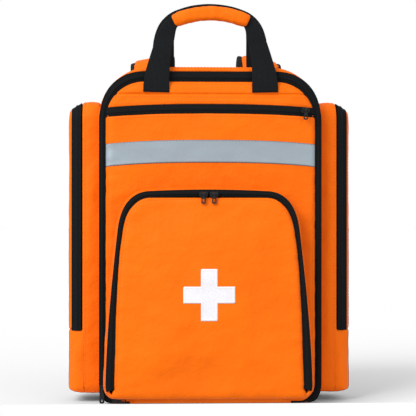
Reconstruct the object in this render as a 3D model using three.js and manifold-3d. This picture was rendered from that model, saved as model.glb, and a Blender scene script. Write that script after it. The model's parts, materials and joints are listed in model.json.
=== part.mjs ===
// First-responder backpack: a soft shell whose front panel is a lid that zips open and folds down,
// with a zipped front pocket, two zipped side pockets, grab handles and shoulder straps.
// Millimetres, +Z up, the zipped front faces -Y. The origin is the middle of the footprint.
import * as THREE from 'three';
import { mergeVertices } from 'three/addons/utils/BufferGeometryUtils.js';
import Module from 'manifold-3d';

const wasm = await Module();
wasm.setup();

const gap = 0.3;
const arcSteps = 5;
const fewSteps = { curveSegments: 2 };

// main body: the shell lies behind y = 0, the front lid before it
const bodyHalfWidth = 150;
const bodyTop = 452;
const bodyDepth = 125;
const bodyWall = 5;
const topRadius = 62;
const bottomRadius = 24;
const lidThick = 7;
const lidFront = -2 * gap - lidThick;
const lidTongueHalf = 105;

// zips: two flat tapes side by side, measured inward from the edge that carries them
const tapeThick = 3;
const tapeSplit = 4.3;
const tapeInner = 8.6;
const zipPanelInset = 9;

// front pocket: deeper at its foot than at its top, and sewn a little left of the middle
const pocketFoot = 12;
const pocketTop = 285;
const pocketDepthFoot = 46;
const pocketDepthTop = 26;
const pocketWall = 4;
const pocketTongueHalf = 112;
const pocketPlane = lidFront - gap - pocketDepthFoot;
const pocketOffset = -4;
const pocketSlant = Math.atan((pocketDepthFoot - pocketDepthTop) / (pocketTop - pocketFoot));

// side pockets
const sideFront = 18;
const sideRear = 112;
const sideFoot = 12;
const sideTop = 407;
const sideHinge = 98;
const sideMouth = 176;
const sideOuter = 195;
const sideWall = 3;

// grab handles
const handleLegCentre = 73;
const handleBase = 417.5;
const handleArchCentre = 404;
const handleArchRadius = 119;
const webbingThick = 3;
const gripHalfHeight = 9.3;
const gripHalfDepth = 10;

// back and harness
const backFace = bodyDepth + gap;
const padThick = 13.5;
const strapHalfWidth = 32.5;
const strapThick = 11;
const strapTopOffset = 66;
const strapSpread = 0.11;

const orange = new THREE.MeshStandardMaterial({ color: 0xf26a12, roughness: 0.75, metalness: 0 });
const black = new THREE.MeshStandardMaterial({ color: 0x1c1d1f, roughness: 0.8, metalness: 0 });
const lining = new THREE.MeshStandardMaterial({ color: 0x4a4d50, roughness: 0.85, metalness: 0 });
const silver = new THREE.MeshStandardMaterial({ color: 0xaab6be, roughness: 0.4, metalness: 0.1 });
const white = new THREE.MeshStandardMaterial({ color: 0xf4f2f5, roughness: 0.6, metalness: 0 });
const metal = new THREE.MeshStandardMaterial({ color: 0x26282a, roughness: 0.45, metalness: 0.6 });
const plastic = new THREE.MeshStandardMaterial({ color: 0x17181a, roughness: 0.5, metalness: 0 });

// ---- solids -------------------------------------------------------------------------------

function toSolid(geometry) {
  const bare = geometry.clone();
  bare.deleteAttribute('normal');
  bare.deleteAttribute('uv');
  const merged = mergeVertices(bare, 1e-3);
  const corners = merged.index.array;
  const triangles = [];
  for (let i = 0; i < corners.length; i += 3) {
    const [a, b, c] = [corners[i], corners[i + 1], corners[i + 2]];
    if (a !== b && b !== c && c !== a) triangles.push(a, b, c);
  }
  return new wasm.Manifold(new wasm.Mesh({
    numProp: 3,
    vertProperties: new Float32Array(merged.attributes.position.array),
    triVerts: new Uint32Array(triangles),
  }));
}

function toGeometry(solid) {
  const mesh = solid.getMesh();
  const geometry = new THREE.BufferGeometry();
  geometry.setAttribute('position', new THREE.BufferAttribute(mesh.vertProperties, 3));
  geometry.setIndex(new THREE.BufferAttribute(mesh.triVerts, 1));
  geometry.computeVertexNormals();
  return geometry;
}

function box(x0, x1, y0, y1, z0, z1) {
  const geometry = new THREE.BoxGeometry(x1 - x0, y1 - y0, z1 - z0);
  return toSolid(geometry.translate((x0 + x1) / 2, (y0 + y1) / 2, (z0 + z1) / 2));
}

// an outline drawn in X and Z, standing upright and filling y0 to y1
function upright(outline, y0, y1, options = {}) {
  const settings = { depth: y1 - y0, bevelEnabled: false, curveSegments: arcSteps, ...options };
  const geometry = new THREE.ExtrudeGeometry(outline, settings);
  return toSolid(geometry.rotateX(Math.PI / 2).translate(0, y1, 0));
}

// an outline drawn in Y and Z, filling the stretch between two X values
function sideways(outline, xa, xb) {
  const settings = { depth: Math.abs(xb - xa), bevelEnabled: false, curveSegments: arcSteps };
  const turn = new THREE.Matrix4().makeBasis(
    new THREE.Vector3(0, 1, 0),
    new THREE.Vector3(0, 0, 1),
    new THREE.Vector3(1, 0, 0),
  );
  const geometry = new THREE.ExtrudeGeometry(outline, settings).applyMatrix4(turn);
  return toSolid(geometry.translate(Math.min(xa, xb), 0, 0));
}

// ---- outlines -----------------------------------------------------------------------------

function roundedOutline(left, right, bottom, top, bottomR, topR) {
  const shape = new THREE.Shape();
  shape.moveTo(left + bottomR, bottom);
  shape.lineTo(right - bottomR, bottom);
  shape.absarc(right - bottomR, bottom + bottomR, bottomR, -Math.PI / 2, 0, false);
  shape.lineTo(right, top - topR);
  shape.absarc(right - topR, top - topR, topR, 0, Math.PI / 2, false);
  shape.lineTo(left + topR, top);
  shape.absarc(left + topR, top - topR, topR, Math.PI / 2, Math.PI, false);
  shape.lineTo(left, bottom + bottomR);
  shape.absarc(left + bottomR, bottom + bottomR, bottomR, Math.PI, 1.5 * Math.PI, false);
  return shape;
}

function bodyOutline(inset, topInset = inset) {
  return roundedOutline(
    inset - bodyHalfWidth, bodyHalfWidth - inset, inset, bodyTop - topInset,
    bottomRadius - inset, topRadius - inset,
  );
}

function sideOutline(inset, foot = sideFoot + inset) {
  return roundedOutline(sideFront + inset, sideRear - inset, foot, sideTop - inset, 2, 26 - inset);
}

// the front pocket: round shoulders, sides that flare towards the foot
function pocketOutline(inset) {
  const foot = 136 - inset;
  const waist = 120 - inset;
  const waistHeight = 236;
  const flat = 76;
  const footRadius = 18;
  const bottom = pocketFoot + inset;
  const top = pocketTop - inset;
  const shape = new THREE.Shape();
  shape.moveTo(footRadius - foot, bottom);
  shape.lineTo(foot - footRadius, bottom);
  shape.quadraticCurveTo(foot, bottom, foot, bottom + footRadius);
  shape.quadraticCurveTo(foot - 3, 150, waist, waistHeight);
  shape.bezierCurveTo(waist - 4, waistHeight + 30, flat + 26, top, flat, top);
  shape.lineTo(-flat, top);
  shape.bezierCurveTo(-flat - 26, top, 4 - waist, waistHeight + 30, -waist, waistHeight);
  shape.quadraticCurveTo(3 - foot, 150, -foot, bottom + footRadius);
  shape.quadraticCurveTo(-foot, bottom, footRadius - foot, bottom);
  return shape;
}

// a band of even thickness along a smooth line, drawn in the plane of the points given
function bandOutline(points, thickness, steps) {
  const line = new THREE.SplineCurve(points.map(([u, v]) => new THREE.Vector2(u, v)));
  const near = [];
  const far = [];
  for (let i = 0; i <= steps; i += 1) {
    const point = line.getPointAt(i / steps);
    const along = line.getTangentAt(i / steps);
    const offset = new THREE.Vector2(-along.y, along.x).multiplyScalar(thickness / 2);
    near.push(point.clone().add(offset));
    far.unshift(point.clone().sub(offset));
  }
  return new THREE.Shape([...near, ...far]);
}

// a webbing loop: flat legs that fold narrow and meet in an arch
function handleOutline(legCentre, legHalf, base, lift, archHalf) {
  const outer = legCentre + legHalf;
  const inner = legCentre - legHalf;
  const centre = handleArchCentre + lift;
  const swing = Math.asin(archHalf / handleArchRadius);
  const outerR = handleArchRadius + 6.5;
  const innerR = handleArchRadius - 6.5;
  const tip = (r, away) => [
    r * Math.sin(swing) + away * Math.cos(swing),
    centre + r * Math.cos(swing) - away * Math.sin(swing),
  ];
  const [outerX, outerZ] = tip(outerR, 0);
  const [outerPullX, outerPullZ] = tip(outerR, 16);
  const [innerX, innerZ] = tip(innerR, 0);
  const [innerPullX, innerPullZ] = tip(innerR, 6);
  const shape = new THREE.Shape();
  shape.moveTo(-outer, base);
  shape.lineTo(-outer, base + 45);
  shape.bezierCurveTo(-outer, base + 72, -outerPullX, outerPullZ, -outerX, outerZ);
  shape.absarc(0, centre, outerR, Math.PI / 2 + swing, Math.PI / 2 - swing, true);
  shape.bezierCurveTo(outerPullX, outerPullZ, outer, base + 72, outer, base + 45);
  shape.lineTo(outer, base);
  shape.lineTo(inner, base);
  shape.lineTo(inner, base + 58);
  shape.bezierCurveTo(inner, base + 74, innerPullX, innerPullZ, innerX, innerZ);
  shape.absarc(0, centre, innerR, Math.PI / 2 - swing, Math.PI / 2 + swing, false);
  shape.bezierCurveTo(-innerPullX, innerPullZ, -inner, base + 74, -inner, base + 58);
  shape.lineTo(-inner, base);
  shape.lineTo(-outer, base);
  return shape;
}

function archBand(halfHeight, archHalf) {
  const swing = Math.asin(archHalf / handleArchRadius);
  const shape = new THREE.Shape();
  const outerR = handleArchRadius + halfHeight;
  const innerR = handleArchRadius - halfHeight;
  shape.absarc(0, handleArchCentre, outerR, Math.PI / 2 + swing, Math.PI / 2 - swing, true);
  shape.absarc(0, handleArchCentre, innerR, Math.PI / 2 - swing, Math.PI / 2 + swing, false);
  return shape;
}

// ---- assembly -----------------------------------------------------------------------------

const bag = new THREE.Group();

function addPiece(parent, name, solid, material) {
  const mesh = new THREE.Mesh(toGeometry(solid), material);
  mesh.name = name;
  parent.add(mesh);
  return mesh;
}

// two U-shaped tapes side by side: the rear one stays put, the front one leaves with the panel
function addRingTapes(parent, word, outline, tongueHalf, frontFoot) {
  const ring = (outer, inner) => upright(outline(outer), -gap - tapeThick, -gap)
    .subtract(upright(outline(inner), -gap - tapeThick - 1, 1));
  const rearCut = box(-tongueHalf, tongueHalf, -20, 20, -1, 40);
  const frontCut = box(-bodyHalfWidth, bodyHalfWidth, -20, 20, -1, frontFoot);
  addPiece(parent, `${word}_zip_tape_rear`, ring(0.6, tapeSplit).subtract(rearCut), black);
  addPiece(parent, `${word}_zip_tape_front`, ring(tapeSplit + gap, tapeInner).subtract(frontCut), black);
}

// main shell: a tray open at the front, with its stiffeners and inner bands
const shellInside = upright(bodyOutline(bodyWall), -1, bodyDepth - bodyWall - 1);
const shell = upright(bodyOutline(0), 0, bodyDepth).subtract(shellInside);
addPiece(bag, 'main_shell', shell, orange);
const boardBack = bodyDepth - bodyWall - 1 - gap;
const boardOutline = roundedOutline(-132, 132, 12, 436, 14, 48);
addPiece(bag, 'back_board', upright(boardOutline, boardBack - 3, boardBack), lining);
addPiece(bag, 'base_board', box(-122, 122, 6, 112, bodyWall + gap, bodyWall + gap + 3), lining);
const bandFace = boardBack - 3 - gap;
for (const [name, height] of [['inner_band_lower', 150], ['inner_band_upper', 290]]) {
  addPiece(bag, name, box(-118, 118, bandFace - 2, bandFace, height, height + 50), black);
}

// main zip: a U that runs up both sides and over the top
addRingTapes(bag, 'main', bodyOutline, lidTongueHalf + 3, bottomRadius);

// lid panel, with a tongue at its foot that is the hinge
const lid = upright(bodyOutline(zipPanelInset, 19), lidFront, lidFront + lidThick)
  .add(box(-lidTongueHalf, lidTongueHalf, lidFront, lidFront + lidThick, 1, 40));
addPiece(bag, 'lid_panel', lid, orange);
addPiece(bag, 'slip_pocket_liner', box(-125, 125, -gap, -gap + 1.2, 245, 388), lining);

// upper slip-pocket zip and reflective band: strips that droop a little at their ends
function droopStrip(centre, halfHeight, halfWidth, droop, thick) {
  const shape = new THREE.Shape();
  shape.moveTo(-halfWidth, centre - halfHeight - droop);
  shape.quadraticCurveTo(0, centre - halfHeight + droop, halfWidth, centre - halfHeight - droop);
  shape.lineTo(halfWidth, centre + halfHeight - droop);
  shape.quadraticCurveTo(0, centre + halfHeight + droop, -halfWidth, centre + halfHeight - droop);
  return upright(shape, lidFront - gap - thick, lidFront - gap);
}
addPiece(bag, 'upper_zip_tape', droopStrip(395, 6.5, 139, 2, 1.5), black);
addPiece(bag, 'reflective_band', droopStrip(337, 15, 140.5, 3, 1), silver);

// front pocket: a gusset cut on the slant, and a flap that lies in the slanted plane
const pocketFace = new THREE.Group();
pocketFace.position.set(pocketOffset, pocketPlane, pocketFoot);
pocketFace.rotation.x = -pocketSlant;
bag.add(pocketFace);
const gussetTube = upright(pocketOutline(0), pocketPlane - 5, lidFront - gap)
  .subtract(upright(pocketOutline(pocketWall), pocketPlane - 6, lidFront + 1));
const slantTool = new THREE.BoxGeometry(400, 60, 800).translate(0, -30, 0)
  .rotateX(-pocketSlant).translate(0, pocketPlane, pocketFoot);
const gusset = gussetTube.subtract(toSolid(slantTool)).translate([pocketOffset, 0, 0]);
addPiece(bag, 'pocket_gusset', gusset, orange);

function faceOutline(inset) {
  const shape = pocketOutline(inset);
  const points = shape.extractPoints(arcSteps).shape;
  return new THREE.Shape(points.map((p) => new THREE.Vector2(p.x, p.y - pocketFoot)));
}
addRingTapes(pocketFace, 'pocket', faceOutline, pocketTongueHalf + 3, 20);
const flap = upright(faceOutline(zipPanelInset), lidFront, lidFront + lidThick)
  .add(box(-pocketTongueHalf, pocketTongueHalf, lidFront, lidFront + lidThick, 0.5, 30));
addPiece(pocketFace, 'pocket_flap', flap, orange);

const crossHalf = 34;
const crossArm = 11;
const crossHeight = 148 - pocketFoot;
const crossY = lidFront - gap - 0.8;
const crossBar = (halfX, halfZ) => box(
  -halfX, halfX, crossY, crossY + 0.8, crossHeight - halfZ, crossHeight + halfZ,
);
const cross = crossBar(crossHalf, crossArm).add(crossBar(crossArm, crossHalf));
addPiece(pocketFace, 'emblem_patch', cross, white);

// side pockets: a tray on the shell's flank, closed below by its own outer panel and above by a flap
for (const [side, word] of [[-1, 'left'], [1, 'right']]) {
  const root = side * (bodyHalfWidth + gap);
  const mouth = side * sideMouth;
  const outer = side * sideOuter;
  const low = sideHinge - 2 * gap;
  const lowOutline = roundedOutline(sideFront, sideRear, sideFoot, low, 4, 1);
  const lowInside = roundedOutline(
    sideFront + sideWall, sideRear - sideWall, sideFoot + sideWall, low - sideWall, 2, 1,
  );
  const tray = sideways(sideOutline(0), root, mouth)
    .add(sideways(lowOutline, mouth - side, outer))
    .subtract(sideways(sideOutline(sideWall), root + side * sideWall, mouth + side))
    .subtract(sideways(lowInside, root + side * sideWall, outer - side * sideWall));
  addPiece(bag, `${word}_pocket_tray`, tray, orange);

  const tapeIn = mouth + side * gap;
  const tapeOut = mouth + side * (gap + tapeThick);
  const belowHinge = box(-bodyHalfWidth * 2, bodyHalfWidth * 2, 0, bodyDepth, 0, sideHinge);
  const tape = (a, b) => sideways(sideOutline(a), tapeIn, tapeOut)
    .subtract(sideways(sideOutline(b), tapeIn - side, tapeOut + side))
    .subtract(belowHinge);
  addPiece(bag, `${word}_zip_tape_rear`, tape(0.6, tapeSplit), black);
  addPiece(bag, `${word}_zip_tape_front`, tape(tapeSplit + gap, tapeInner), black);

  const flapOuter = sideways(sideOutline(zipPanelInset, sideHinge), mouth + side * 2 * gap, outer);
  const flapInside = sideways(
    sideOutline(zipPanelInset + 4, sideHinge + 4), mouth - side, outer - side * 4,
  );
  addPiece(bag, `${word}_flap_panel`, flapOuter.subtract(flapInside), orange);
}

// grab handles: the front loop is sewn to the lid and padded, the rear loop is sewn to the shell
const frontWebbingFace = lidFront - gap;
const frontWebbing = upright(
  handleOutline(handleLegCentre, 17.5, handleBase, 0, 51), frontWebbingFace - webbingThick, frontWebbingFace,
);
addPiece(bag, 'front_handle_webbing', frontWebbing, black);
const gripMiddle = frontWebbingFace - webbingThick / 2;
const gripBevel = {
  bevelEnabled: true, bevelThickness: 5, bevelSize: 4, bevelOffset: -4, bevelSegments: 1,
};
const gripOuter = upright(
  archBand(gripHalfHeight, 50), gripMiddle - gripHalfDepth + 5, gripMiddle + gripHalfDepth - 5, gripBevel,
);
const gripChannel = upright(archBand(7, 58), gripMiddle - 2.1, gripMiddle + 2.1);
addPiece(bag, 'handle_grip', gripOuter.subtract(gripChannel), orange);
const rearWebbingY = 12;
const rearWebbing = upright(
  handleOutline(64, 15, bodyTop + 1, 9, 40), rearWebbingY, rearWebbingY + webbingThick,
);
addPiece(bag, 'rear_handle_webbing', rearWebbing, black);

// back panel pads, strap yoke and harness
for (const [side, word] of [[-1, 'left'], [1, 'right']]) {
  const pad = roundedOutline(-45, 45, 150, 414, 22, 30);
  const padGeometry = upright(pad, backFace, backFace + padThick).translate([side * 62, 0, 0]);
  addPiece(bag, `back_pad_${word}`, padGeometry, black);
}
const lumbarOutline = roundedOutline(-105, 105, 62, 136, 24, 24);
addPiece(bag, 'lumbar_pad', upright(lumbarOutline, backFace, backFace + padThick), black);
addPiece(bag, 'strap_yoke', box(-112, 112, backFace, backFace + 3, 424, 444), black);

const strapLine = [
  [136, 430], [141, 463], [163, 477], [184, 452], [193, 380], [191, 280], [181, 196], [176, 172],
];
const lowerLine = [[175, 148], [162, 110], [143, 66], [134, 44]];
// straps lean outwards as they go down
function lean(solid, side) {
  const matrix = new THREE.Matrix4().set(
    1, 0, -side * strapSpread, side * strapSpread * 440,
    0, 1, 0, 0,
    0, 0, 1, 0,
    0, 0, 0, 1,
  );
  return solid.transform(matrix.elements);
}
for (const [side, word] of [[-1, 'left'], [1, 'right']]) {
  const middle = side * strapTopOffset;
  const strapSection = bandOutline(strapLine, strapThick, 20);
  const strap = sideways(strapSection, middle - strapHalfWidth, middle + strapHalfWidth);
  addPiece(bag, `${word}_shoulder_strap`, lean(strap, side), orange);
  const lower = sideways(bandOutline(lowerLine, 2.4, 8), middle - 12.5, middle + 12.5);
  addPiece(bag, `${word}_lower_webbing`, lean(lower, side), black);
  const frameOutline = roundedOutline(-20, 20, 149.5, 171, 3, 3);
  const slots = box(-14, 14, 160, 190, 164, 167).add(box(-14, 14, 160, 190, 154, 157));
  const lock = upright(frameOutline, 172, 178, fewSteps).subtract(slots).translate([middle, 0, 0]);
  addPiece(bag, `${word}_ladder_lock`, lean(lock, side), plastic);
  const tab = new THREE.Shape([
    new THREE.Vector2(side * 92, 22), new THREE.Vector2(side * 144, 22), new THREE.Vector2(side * 118, 58),
  ]);
  addPiece(bag, `${word}_anchor_tab`, upright(tab, backFace, backFace + 3), black);
}

// ---- zip sliders and pulls ----------------------------------------------------------------
// local frame: the back of the slider is y = 0, its pin lies along X, the pull hangs to -Z

const pinOffset = 5.6;
const pinRadius = 0.8;
const eyeHole = 1.25;
const eyeRadius = 2.3;

function alongX(radius, halfLength, steps) {
  const geometry = new THREE.CylinderGeometry(radius, radius, 2 * halfLength, steps);
  return toSolid(geometry.rotateZ(Math.PI / 2).translate(0, -pinOffset, 0));
}

function sliderSolid(halfAcross, halfAlong) {
  let solid = upright(roundedOutline(-halfAcross, halfAcross, -halfAlong, halfAlong, 2, 2), -3, 0, fewSteps);
  for (const side of [-1, 1]) {
    const lug = side < 0 ? box(-3, -1.8, -7.1, -2, -1.5, 1.5) : box(1.8, 3, -7.1, -2, -1.5, 1.5);
    solid = solid.add(lug);
  }
  return solid.add(alongX(pinRadius, 2.4, 6));
}

function pullSolid(length) {
  const neck = 3.4;
  const shape = new THREE.Shape();
  shape.moveTo(-1.5, -1);
  shape.lineTo(-1.5, -neck);
  shape.lineTo(-2.6, -neck - 2);
  shape.lineTo(-3.1, 2 - length);
  shape.quadraticCurveTo(-3.1, -length, 0, -length);
  shape.quadraticCurveTo(3.1, -length, 3.1, 2 - length);
  shape.lineTo(2.6, -neck - 2);
  shape.lineTo(1.5, -neck);
  shape.lineTo(1.5, -1);
  const hole = roundedOutline(-1.4, 1.4, 1.8 - length, 6.5 - length, 1.3, 1.3);
  return upright(shape, -pinOffset - 0.8, -pinOffset + 0.8, fewSteps)
    .add(alongX(eyeRadius, 1.5, 10))
    .subtract(alongX(eyeHole, 4, 8))
    .subtract(upright(hole, -20, 20, fewSteps));
}

function addSlider(parent, words, place, turn, pullLength, across = 3.6, along = 5.5) {
  const [zip, end] = words;
  const group = new THREE.Group();
  group.position.set(...place);
  group.rotation.set(...turn);
  parent.add(group);
  addPiece(group, `${zip}_slider${end}`, sliderSolid(across, along), metal);
  addPiece(group, `${zip}_pull${end}`, pullSolid(pullLength), metal);
}

const shortPull = 13;
const longPull = 18.5;
const overTape = -2 * gap - tapeThick;
const runX = bodyHalfWidth - tapeSplit - gap / 2;
const runSide = sideRear - tapeSplit - gap / 2;
addSlider(bag, ['main', '_upper'], [-runX, overTape, 20], [0, 0, 0], longPull);
addSlider(bag, ['main', '_lower'], [-126, overTape, 4.9], [0, -Math.PI / 2, 0], shortPull);
addSlider(bag, ['upper', ''], [127, lidFront - 2 * gap - 1.5, 393.5], [0, 0, 0], shortPull, 5.5, 3.6);
const pocketRun = pocketTop - pocketFoot - tapeSplit - gap / 2;
addSlider(pocketFace, ['pocket', '_left'], [-7, overTape, pocketRun], [0, 0, 0], shortPull, 5.5, 3.6);
addSlider(pocketFace, ['pocket', '_right'], [7, overTape, pocketRun], [0, 0, 0], shortPull, 5.5, 3.6);
for (const [side, word] of [[-1, 'left'], [1, 'right']]) {
  const place = [side * (sideMouth + 2 * gap + tapeThick), runSide, 125];
  addSlider(bag, [word, ''], place, [0, 0, side * Math.PI / 2], shortPull);
}

// centre the footprint on the origin
const extent = new THREE.Box3().setFromObject(bag);
bag.position.y = -(extent.min.y + extent.max.y) / 2;
bag.updateMatrixWorld(true);

export default bag;
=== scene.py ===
import bpy
import bmesh
import json
import math
import numpy as np
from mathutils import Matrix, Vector, noise

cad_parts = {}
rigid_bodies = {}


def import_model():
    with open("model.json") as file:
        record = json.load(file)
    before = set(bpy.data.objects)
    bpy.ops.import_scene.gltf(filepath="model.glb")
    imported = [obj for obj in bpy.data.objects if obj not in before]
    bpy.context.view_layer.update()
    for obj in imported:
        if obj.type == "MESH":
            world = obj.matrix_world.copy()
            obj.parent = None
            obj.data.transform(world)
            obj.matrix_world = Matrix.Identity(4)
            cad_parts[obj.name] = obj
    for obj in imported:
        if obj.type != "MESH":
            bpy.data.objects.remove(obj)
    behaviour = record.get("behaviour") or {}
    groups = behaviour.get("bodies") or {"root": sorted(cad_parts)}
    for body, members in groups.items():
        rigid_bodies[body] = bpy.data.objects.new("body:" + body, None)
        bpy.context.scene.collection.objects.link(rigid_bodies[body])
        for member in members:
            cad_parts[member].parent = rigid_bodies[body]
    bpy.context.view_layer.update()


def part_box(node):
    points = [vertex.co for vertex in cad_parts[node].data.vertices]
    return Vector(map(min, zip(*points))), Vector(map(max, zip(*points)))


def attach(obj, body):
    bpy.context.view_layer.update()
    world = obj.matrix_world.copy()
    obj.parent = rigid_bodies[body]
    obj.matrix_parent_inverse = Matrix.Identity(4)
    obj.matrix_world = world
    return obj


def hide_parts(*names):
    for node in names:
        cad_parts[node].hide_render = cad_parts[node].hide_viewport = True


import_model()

mm = 0.001

# ---- driving sizes, read from the frame ------------------------------------------------------

shell_lo, shell_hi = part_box("main_shell")
gusset_lo, gusset_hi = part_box("pocket_gusset")
tray_lo, tray_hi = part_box("right_pocket_tray")
side_flap_lo, side_flap_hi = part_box("right_flap_panel")
rim = shell_lo[1]                      # the plane where shell and lid meet
back = shell_hi[1]
half_width = shell_hi[0]
body_top = shell_hi[2]
lid_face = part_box("lid_panel")[0][1]
pocket_middle = (gusset_lo[0] + gusset_hi[0]) / 2
pocket_foot = gusset_lo[2]
pocket_top = gusset_hi[2]
pocket_depth_top = 26 * mm
pocket_depth_foot = gusset_hi[1] - gusset_lo[1]
pocket_slope = (pocket_depth_foot - pocket_depth_top) / (pocket_top - pocket_foot)


def smooth(value, low, high):
    """0 below low, 1 above high, and an even curve between; low may be the larger."""
    t = np.clip((np.asarray(value, float) - low) / (high - low), 0.0, 1.0)
    return t * t * (3 - 2 * t)


def ripple(x, y, z, size, seed=0.0):
    """Smooth noise from -1 to 1 with features about size metres across."""
    x, y, z = np.broadcast_arrays(x, y, z)
    flat = [
        noise.noise(Vector((a / size + seed, b / size - seed, c / size + 2 * seed)))
        for a, b, c in zip(x.ravel(), y.ravel(), z.ravel())
    ]
    return np.array(flat).reshape(x.shape)


# ---- camera, light and floor -----------------------------------------------------------------

def add_camera():
    """Level and far away, so that upright edges stay upright."""
    distance = 2.0
    azimuth = math.radians(-2.4)
    height = 0.243
    target = Vector((-0.0034, rim, 0.2626))
    field = 559.52 * mm                # how wide the view is at the target
    data = bpy.data.cameras.new("camera")
    data.sensor_width = 36
    data.lens = data.sensor_width * distance / field
    camera = bpy.data.objects.new("camera", data)
    bpy.context.collection.objects.link(camera)
    aim = Vector((target.x, target.y, height))
    camera.location = aim + distance * Vector((math.sin(azimuth), -math.cos(azimuth), 0))
    camera.rotation_euler = (math.pi / 2, 0, azimuth)
    data.shift_y = (target.z - height) / field
    bpy.context.scene.camera = camera


def add_area(name, location, aim, size, power):
    data = bpy.data.lights.new(name, "AREA")
    data.shape = "SQUARE"
    data.size = size
    data.energy = power
    light = bpy.data.objects.new(name, data)
    bpy.context.collection.objects.link(light)
    light.location = location
    light.rotation_euler = (Vector(aim) - Vector(location)).to_track_quat("-Z", "Y").to_euler()


def add_stage():
    scene = bpy.context.scene
    scene.view_settings.view_transform = "Standard"
    scene.view_settings.look = "None"
    world = bpy.data.worlds.new("studio")
    world.use_nodes = True
    background = world.node_tree.nodes["Background"]
    background.inputs["Color"].default_value = (1, 1, 1, 1)
    background.inputs["Strength"].default_value = 1.0
    scene.world = world
    chest = (0, 0, 0.25)               # the lights aim at the middle of the front
    add_area("key", (-1.5, -1.7, 1.9), chest, 1.7, 92)
    add_area("fill", (1.7, -2.0, 1.0), chest, 1.6, 12)
    mesh = bpy.data.meshes.new("floor")
    reach = 60.0
    front_edge = rim + 1 * mm          # a table edge, so the open lid can hang past it
    corners = [(-reach, front_edge), (reach, front_edge), (reach, reach), (-reach, reach)]
    mesh.from_pydata([(x, y, -0.5 * mm) for x, y in corners], [], [(0, 1, 2, 3)])
    floor = bpy.data.objects.new("floor", mesh)
    bpy.context.collection.objects.link(floor)
    floor.is_shadow_catcher = True
    paint = bpy.data.materials.new("floor_paint")
    paint.use_nodes = True
    shader = paint.node_tree.nodes["Principled BSDF"]
    shader.inputs["Base Color"].default_value = (0.95, 0.95, 0.95, 1)
    shader.inputs["Roughness"].default_value = 0.9
    mesh.materials.append(paint)


add_camera()
add_stage()


# ---- materials -------------------------------------------------------------------------------

class Nodes:
    """A short way to write a node tree."""

    def __init__(self, tree):
        self.tree = tree

    def add(self, kind, **settings):
        node = self.tree.nodes.new(kind)
        for key, value in settings.items():
            setattr(node, key, value)
        return node

    def link(self, source, target):
        self.tree.links.new(source, target)

    def math(self, operation, *values):
        node = self.add("ShaderNodeMath", operation=operation)
        for index, value in enumerate(values):
            if isinstance(value, (int, float)):
                node.inputs[index].default_value = value
            else:
                self.link(value, node.inputs[index])
        return node.outputs[0]

    def total(self, *parts):
        """The sum of pairs of a value and its weight."""
        result = None
        for value, weight in parts:
            part = self.math("MULTIPLY", value, weight)
            result = part if result is None else self.math("ADD", result, part)
        return result

    def remap(self, value, source=(0.0, 1.0), target=(0.0, 1.0)):
        """A value carried from one range to another."""
        node = self.add("ShaderNodeMapRange")
        for socket, number in zip(("From Min", "From Max", "To Min", "To Max"), (*source, *target)):
            node.inputs[socket].default_value = number
        self.link(value, node.inputs["Value"])
        return node.outputs["Result"]

    def noise(self, coordinates, scale, detail=2.0, rough=0.5):
        node = self.add("ShaderNodeTexNoise")
        node.inputs["Scale"].default_value = scale
        node.inputs["Detail"].default_value = detail
        node.inputs["Roughness"].default_value = rough
        self.link(coordinates, node.inputs["Vector"])
        return node.outputs["Fac"]

    def waves(self, coordinates, axis, period):
        node = self.add("ShaderNodeTexWave", bands_direction=axis)
        node.inputs["Scale"].default_value = 2 * math.pi / (20 * period)
        self.link(coordinates, node.inputs["Vector"])
        return node.outputs["Fac"]

    def bump(self, height, distance, strength=1.0, below=None):
        node = self.add("ShaderNodeBump")
        node.inputs["Distance"].default_value = distance
        node.inputs["Strength"].default_value = strength
        self.link(height, node.inputs["Height"])
        if below is not None:
            self.link(below, node.inputs["Normal"])
        return node.outputs["Normal"]

    def mix(self, factor, low, high):
        node = self.add("ShaderNodeMix", data_type="RGBA")
        for key, value in (("A", low), ("B", high)):
            socket = [s for s in node.inputs if s.name == key and s.type == "RGBA"][0]
            if isinstance(value, tuple):
                socket.default_value = (*value, 1)
            else:
                self.link(value, socket)
        self.link(factor, node.inputs[0])
        return [s for s in node.outputs if s.type == "RGBA"][0]


def weave_height(nodes, place, normal, period):
    """Threads crossing at right angles in whichever plane the surface faces."""
    split = nodes.add("ShaderNodeSeparateXYZ")
    nodes.link(normal, split.inputs[0])
    waves = {axis: nodes.waves(place, axis, period) for axis in "XYZ"}
    parts = []
    for facing, (first, second) in zip("XYZ", ("YZ", "XZ", "XY")):
        crossing = nodes.math("MULTIPLY", waves[first], waves[second])
        parts.append((crossing, nodes.math("ABSOLUTE", split.outputs[facing])))
    return nodes.total(*parts)


def new_material(name, values):
    """A material, its nodes and its shader, with plain values set on the shader's sockets."""
    material = bpy.data.materials.new(name)
    material.use_nodes = True
    shader = material.node_tree.nodes["Principled BSDF"]
    for socket, value in values.items():
        shader.inputs[socket].default_value = value
    return material, Nodes(material.node_tree), shader.inputs


def cloth_material(name, low, high, rough, period, crumple=0.5):
    """Woven cloth: two close tones, a thread pattern, and soft creases, with painted shade in the creases
    and painted light on their ridges.
    """
    material, nodes, shader = new_material(name, {"Specular IOR Level": 0.08})
    coordinates = nodes.add("ShaderNodeTexCoord")
    place = coordinates.outputs["Object"]
    threads = weave_height(nodes, place, coordinates.outputs["Normal"], period)
    blotch = nodes.noise(place, 9, 3)
    fine = nodes.noise(place, 420)
    folds = nodes.total((nodes.noise(place, 13), 1.0), (nodes.noise(place, 42, 3, 0.6), 0.35))
    # the fold height also sets the colour: painted shade in the creases, painted light on the ridges
    tone = nodes.total((blotch, 0.3), (fine, 0.2), (threads, 0.2), (folds, 0.45))
    nodes.link(nodes.mix(tone, low, high), shader["Base Color"])
    nodes.link(nodes.remap(fine, target=(rough - 0.07, rough + 0.07)), shader["Roughness"])
    creases = nodes.bump(folds, 14 * mm, crumple * 0.8)
    nodes.link(nodes.bump(threads, 0.25 * mm, 0.25, creases), shader["Normal"])
    return material


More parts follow.
